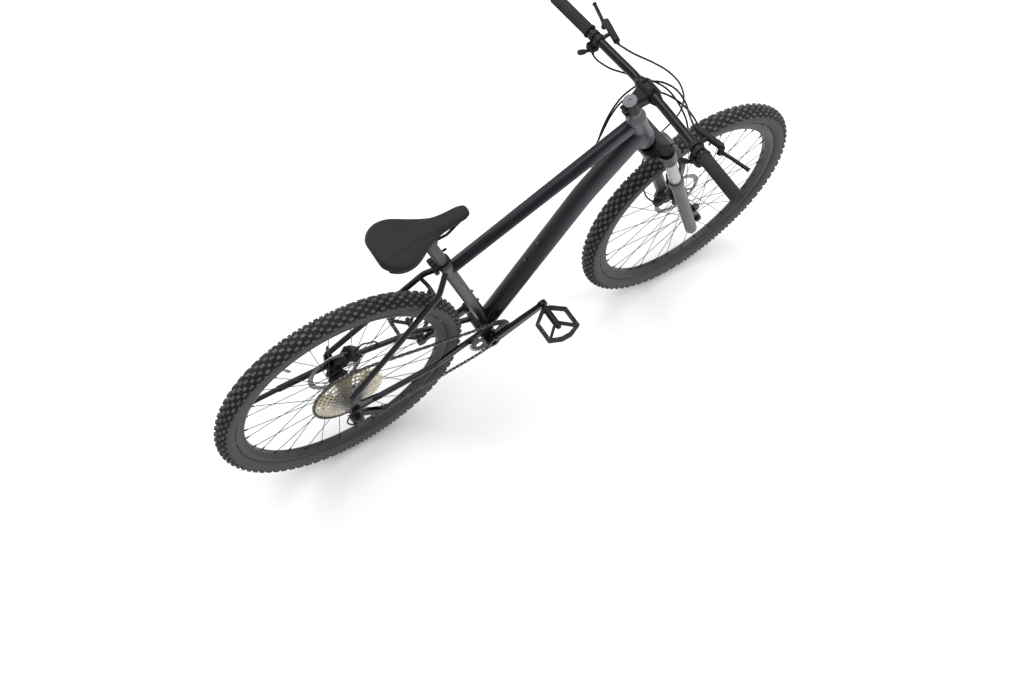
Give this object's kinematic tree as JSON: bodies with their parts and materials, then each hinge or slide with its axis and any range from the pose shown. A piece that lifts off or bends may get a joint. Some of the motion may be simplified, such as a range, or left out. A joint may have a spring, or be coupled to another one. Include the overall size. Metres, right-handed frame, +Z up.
{
  "type": "mountain bike",
  "caption": "Hardtail mountain bike with suspension fork, disc brakes, one-by drivetrain, platform pedals and folded kickstand; every moving piece is jointed.",
  "frame": {"origin": "on the ground, at the centre of the bounding box's base: halfway between the axles' middle and the rear tyre's end to the front tyre's end, in the frame's middle plane", "axes": "+X forward, +Y to the rider's left, +Z up"},
  "size_m": [1.895, 0.7194, 1.0271],
  "materials": {
    "frame": "satin",
    "frame_dark": "gloss",
    "frame_black": "gloss",
    "frame_grey": "satin",
    "tyre_rubber": "matte",
    "rim_black": "satin",
    "spoke_steel": "satin",
    "hub_and_rotor": "satin",
    "black_alloy": "satin",
    "bearing_steel": "satin",
    "anodised_black": "satin",
    "fork_grey": "satin",
    "stanchion_chrome": "polished",
    "component_black": "satin",
    "black_plastic": "matte",
    "black_rubber": "matte",
    "saddle_cover": "matte",
    "rail_steel": "satin",
    "chain_steel": "satin",
    "cassette_steel": "satin",
    "chainring_black": "satin",
    "stand_black": "satin"
  },
  "bodies": {
    "frame": {"head_tube": "frame", "top_tube": "frame_dark", "down_tube": "frame_dark", "seat_tube": "frame_dark", "seat_stays": "frame_black", "chain_stays": "frame_black", "dropouts": "frame_grey", "seat_clamp": "black_alloy", "frame_bolts": "black_alloy", "frame_bearings": "bearing_steel", "rear_brake_caliper": "component_black", "rear_axle": "black_alloy", "kickstand_bracket": "black_alloy", "derailleur_body": "component_black", "chain": "chain_steel", "frame_lines": "black_rubber"},
    "rear_qr_lever": {"rear_qr_lever": "black_alloy"},
    "kickstand": {"kickstand_leg": "stand_black"},
    "seat_clamp_lever": {"seat_clamp_lever": "black_alloy"},
    "seatpost": {"seatpost": "anodised_black", "saddle_rails": "rail_steel", "saddle_shell": "black_plastic", "saddle_cover": "saddle_cover"},
    "fork_upper": {"fork_crown": "anodised_black", "stanchions": "stanchion_chrome", "headset_stack": "anodised_black", "stem": "anodised_black", "handlebar": "anodised_black", "grips": "black_rubber", "brake_lever_bodies": "anodised_black", "thumb_control_bodies": "black_plastic", "front_lines": "black_rubber"},
    "lockout_dial": {"lockout_dial": "black_plastic"},
    "brake_lever_left": {"brake_lever_left": "anodised_black"},
    "brake_lever_right": {"brake_lever_right": "anodised_black"},
    "shift_lever_main": {"shift_lever_main": "black_plastic"},
    "shift_lever_release": {"shift_lever_release": "black_plastic"},
    "remote_lever": {"remote_lever": "black_plastic"},
    "fork_lower": {"fork_lowers": "fork_grey", "front_brake_caliper": "component_black", "front_axle": "black_alloy"},
    "front_qr_lever": {"front_qr_lever": "black_alloy"},
    "front_wheel": {"front_tyre": "tyre_rubber", "front_rim": "rim_black", "front_spokes": "spoke_steel", "front_hub": "hub_and_rotor"},
    "rear_wheel": {"rear_tyre": "tyre_rubber", "rear_rim": "rim_black", "rear_spokes": "spoke_steel", "rear_hub": "hub_and_rotor"},
    "cassette": {"cassette": "cassette_steel"},
    "crank": {"crank_arms": "anodised_black", "chainring": "chainring_black"},
    "pedal_left": {"pedal_left": "black_plastic"},
    "pedal_right": {"pedal_right": "black_plastic"},
    "derailleur_link": {"derailleur_link": "component_black"},
    "derailleur_knuckle": {"derailleur_knuckle": "component_black"},
    "derailleur_cage": {"derailleur_cage": "component_black"},
    "guide_pulley": {"guide_pulley": "black_plastic"},
    "tension_pulley": {"tension_pulley": "black_plastic"}
  },
  "joints": [
    {"name": "steer", "type": "hinge", "parent": "frame", "child": "fork_upper", "pos_m": [0.31617, 0, 0.87047], "axis": [-0.3827, 0, 0.9239], "range_deg": [-50, 50], "deforming": ["frame_lines"]},
    {"name": "fork_travel", "type": "slide", "parent": "fork_upper", "child": "fork_lower", "axis": [-0.3827, 0, 0.9239], "range_m": [0, 0.09], "stiffness_N_per_m": 6000, "springref_m": -0.03, "deforming": ["front_lines"]},
    {"name": "front_wheel_spin", "type": "hinge", "parent": "fork_lower", "child": "front_wheel", "pos_m": [0.5795, 0, 0.368], "axis": [0, 1, 0], "continuous": true},
    {"name": "rear_wheel_spin", "type": "hinge", "parent": "frame", "child": "rear_wheel", "pos_m": [-0.5795, 0, 0.368], "axis": [0, 1, 0], "continuous": true},
    {"name": "crank_spin", "type": "hinge", "parent": "frame", "child": "crank", "pos_m": [-0.14361, 0, 0.308], "axis": [0, 1, 0], "continuous": true, "deforming": ["chain"]},
    {"name": "cassette_spin", "type": "hinge", "parent": "frame", "child": "cassette", "pos_m": [-0.5795, 0, 0.368], "axis": [0, 1, 0], "continuous": true},
    {"name": "guide_pulley_spin", "type": "hinge", "parent": "derailleur_cage", "child": "guide_pulley", "pos_m": [-0.5735, -0.0255, 0.232], "axis": [0, 1, 0], "continuous": true},
    {"name": "tension_pulley_spin", "type": "hinge", "parent": "derailleur_cage", "child": "tension_pulley", "pos_m": [-0.50343, -0.0255, 0.16786], "axis": [0, 1, 0], "continuous": true},
    {"name": "pedal_left_spin", "type": "hinge", "parent": "crank", "child": "pedal_left", "pos_m": [-0.29954, 0.125, 0.22855], "axis": [0, 1, 0], "continuous": true},
    {"name": "pedal_right_spin", "type": "hinge", "parent": "crank", "child": "pedal_right", "pos_m": [0.01232, -0.125, 0.38745], "axis": [0, 1, 0], "continuous": true},
    {"name": "derailleur_swing", "type": "hinge", "parent": "frame", "child": "derailleur_link", "pos_m": [-0.59, -0.086, 0.314], "axis": [-1, 0, 0], "range_deg": [0, 40], "stiffness_Nm_per_rad": 1.5, "springref_deg": -17.19, "deforming": ["chain"]},
    {"name": "derailleur_knuckle_turn", "type": "hinge", "parent": "derailleur_link", "child": "derailleur_knuckle", "pos_m": [-0.59, -0.0503, 0.2683], "axis": [-1, 0, 0], "range_deg": [-41, 1]},
    {"name": "cage_swing", "type": "hinge", "parent": "derailleur_knuckle", "child": "derailleur_cage", "pos_m": [-0.5735, -0.038, 0.232], "axis": [0, 1, 0], "range_deg": [0, 60], "stiffness_Nm_per_rad": 0.6, "springref_deg": -34.38, "deforming": ["chain"]},
    {"name": "seatpost_height", "type": "slide", "parent": "frame", "child": "seatpost", "axis": [-0.2924, 0, 0.9563], "range_m": [-0.025, 0.1]},
    {"name": "seat_clamp_lever_open", "type": "hinge", "parent": "frame", "child": "seat_clamp_lever", "pos_m": [-0.28015, 0.0215, 0.71852], "axis": [-0.2924, 0, 0.9563], "range_deg": [0, 120]},
    {"name": "front_qr_open", "type": "hinge", "parent": "fork_lower", "child": "front_qr_lever", "pos_m": [0.5795, 0.082, 0.368], "axis": [-0.9681, 0, -0.2504], "range_deg": [0, 120]},
    {"name": "rear_qr_open", "type": "hinge", "parent": "frame", "child": "rear_qr_lever", "pos_m": [-0.5795, 0.0985, 0.368], "axis": [-0.9798, 0, 0.2], "range_deg": [0, 120]},
    {"name": "kickstand_fold", "type": "hinge", "parent": "frame", "child": "kickstand", "pos_m": [-0.5455, 0.095, 0.337], "axis": [0, -1, 0], "range_deg": [0, 80]},
    {"name": "brake_left_pull", "type": "hinge", "parent": "fork_upper", "child": "brake_lever_left", "pos_m": [0.352, 0.228, 0.995], "axis": [0, 0, 1], "range_deg": [0, 18], "stiffness_Nm_per_rad": 1.2, "springref_deg": -8.59},
    {"name": "brake_right_pull", "type": "hinge", "parent": "fork_upper", "child": "brake_lever_right", "pos_m": [0.352, -0.228, 0.995], "axis": [0, 0, -1], "range_deg": [0, 18], "stiffness_Nm_per_rad": 1.2, "springref_deg": -8.59},
    {"name": "shift_main_push", "type": "hinge", "parent": "fork_upper", "child": "shift_lever_main", "pos_m": [0.306, -0.206, 0.961], "axis": [0, 0, -1], "range_deg": [0, 25], "stiffness_Nm_per_rad": 0.3, "springref_deg": -11.46},
    {"name": "shift_release_push", "type": "hinge", "parent": "fork_upper", "child": "shift_lever_release", "pos_m": [0.33, -0.206, 0.961], "axis": [0, 0, -1], "range_deg": [0, 12], "stiffness_Nm_per_rad": 0.3, "springref_deg": -11.46},
    {"name": "remote_push", "type": "hinge", "parent": "fork_upper", "child": "remote_lever", "pos_m": [0.296, 0.2, 0.965], "axis": [0, 0, 1], "range_deg": [0, 25], "stiffness_Nm_per_rad": 0.3, "springref_deg": -11.46},
    {"name": "lockout_turn", "type": "hinge", "parent": "fork_upper", "child": "lockout_dial", "pos_m": [0.36022, -0.065, 0.82161], "axis": [-0.3827, 0, 0.9239], "range_deg": [0, 90]}
  ],
  "couplings": [
    {"joint": "cassette_spin", "follows": "crank_spin", "ratio": 0.62745},
    {"joint": "guide_pulley_spin", "follows": "crank_spin", "ratio": -2.6667},
    {"joint": "tension_pulley_spin", "follows": "crank_spin", "ratio": 2.6667},
    {"joint": "derailleur_knuckle_turn", "follows": "derailleur_swing", "ratio": -1},
    {"joint": "lockout_turn", "follows": "remote_push", "ratio": 3}
  ]
}
